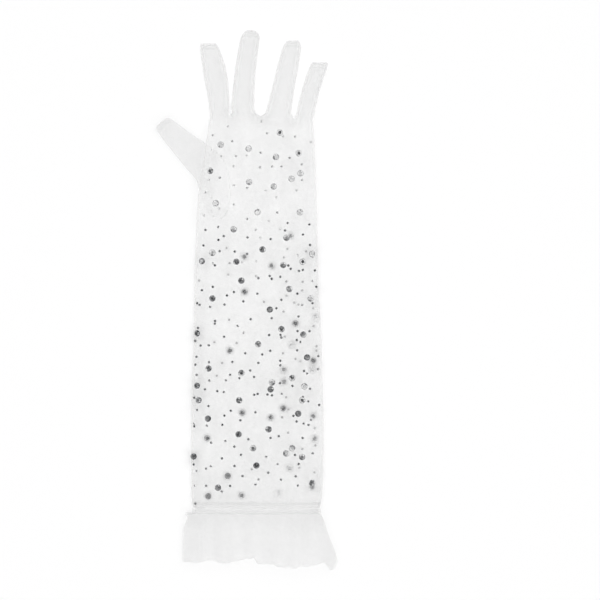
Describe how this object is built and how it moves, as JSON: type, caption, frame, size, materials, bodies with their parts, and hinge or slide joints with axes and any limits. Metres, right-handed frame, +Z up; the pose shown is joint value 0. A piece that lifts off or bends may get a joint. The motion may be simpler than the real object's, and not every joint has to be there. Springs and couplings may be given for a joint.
{
  "type": "right-hand rhinestone dress glove",
  "caption": "Long sheer tulle dress glove for a right hand, lying palm down, strewn with clear rhinestones, with a set-in thumb, a hem band and a gathered frill at the cuff.",
  "frame": {"origin": "on the surface that the glove lies on, under the middle of its whole outline", "axes": "+Y from the frill towards the fingertips, +X across the arm away from the thumb, +Z up, out of the back of the hand"},
  "size_m": [0.1614, 0.4844, 0.0162],
  "materials": {
    "tulle": "sheer matt net",
    "folded_tulle": "folded and stitched net",
    "crystal": "foil-backed cut glass"
  },
  "bodies": {
    "root": {"back_panel": "tulle", "palm_panel": "tulle", "thumb": "tulle", "ruffle": "tulle", "hem_band": "folded_tulle", "stone_01": "crystal", "stone_02": "crystal", "stone_03": "crystal", "stone_04": "crystal", "stone_05": "crystal", "stone_06": "crystal", "stone_07": "crystal", "stone_08": "crystal", "stone_09": "crystal", "stone_10": "crystal", "stone_11": "crystal", "stone_12": "crystal", "stone_13": "crystal", "stone_14": "crystal", "stone_15": "crystal", "stone_16": "crystal", "stone_17": "crystal", "stone_18": "crystal", "stone_19": "crystal", "stone_20": "crystal", "stone_21": "crystal", "stone_22": "crystal", "stone_23": "crystal", "stone_24": "crystal", "stone_25": "crystal", "stone_26": "crystal", "stone_27": "crystal", "stone_28": "crystal", "stone_29": "crystal", "stone_30": "crystal", "stone_31": "crystal", "stone_32": "crystal", "stone_33": "crystal", "stone_34": "crystal", "stone_35": "crystal", "stone_36": "crystal", "stone_37": "crystal", "stone_38": "crystal", "stone_39": "crystal", "stone_40": "crystal"}
  },
  "joints": []
}
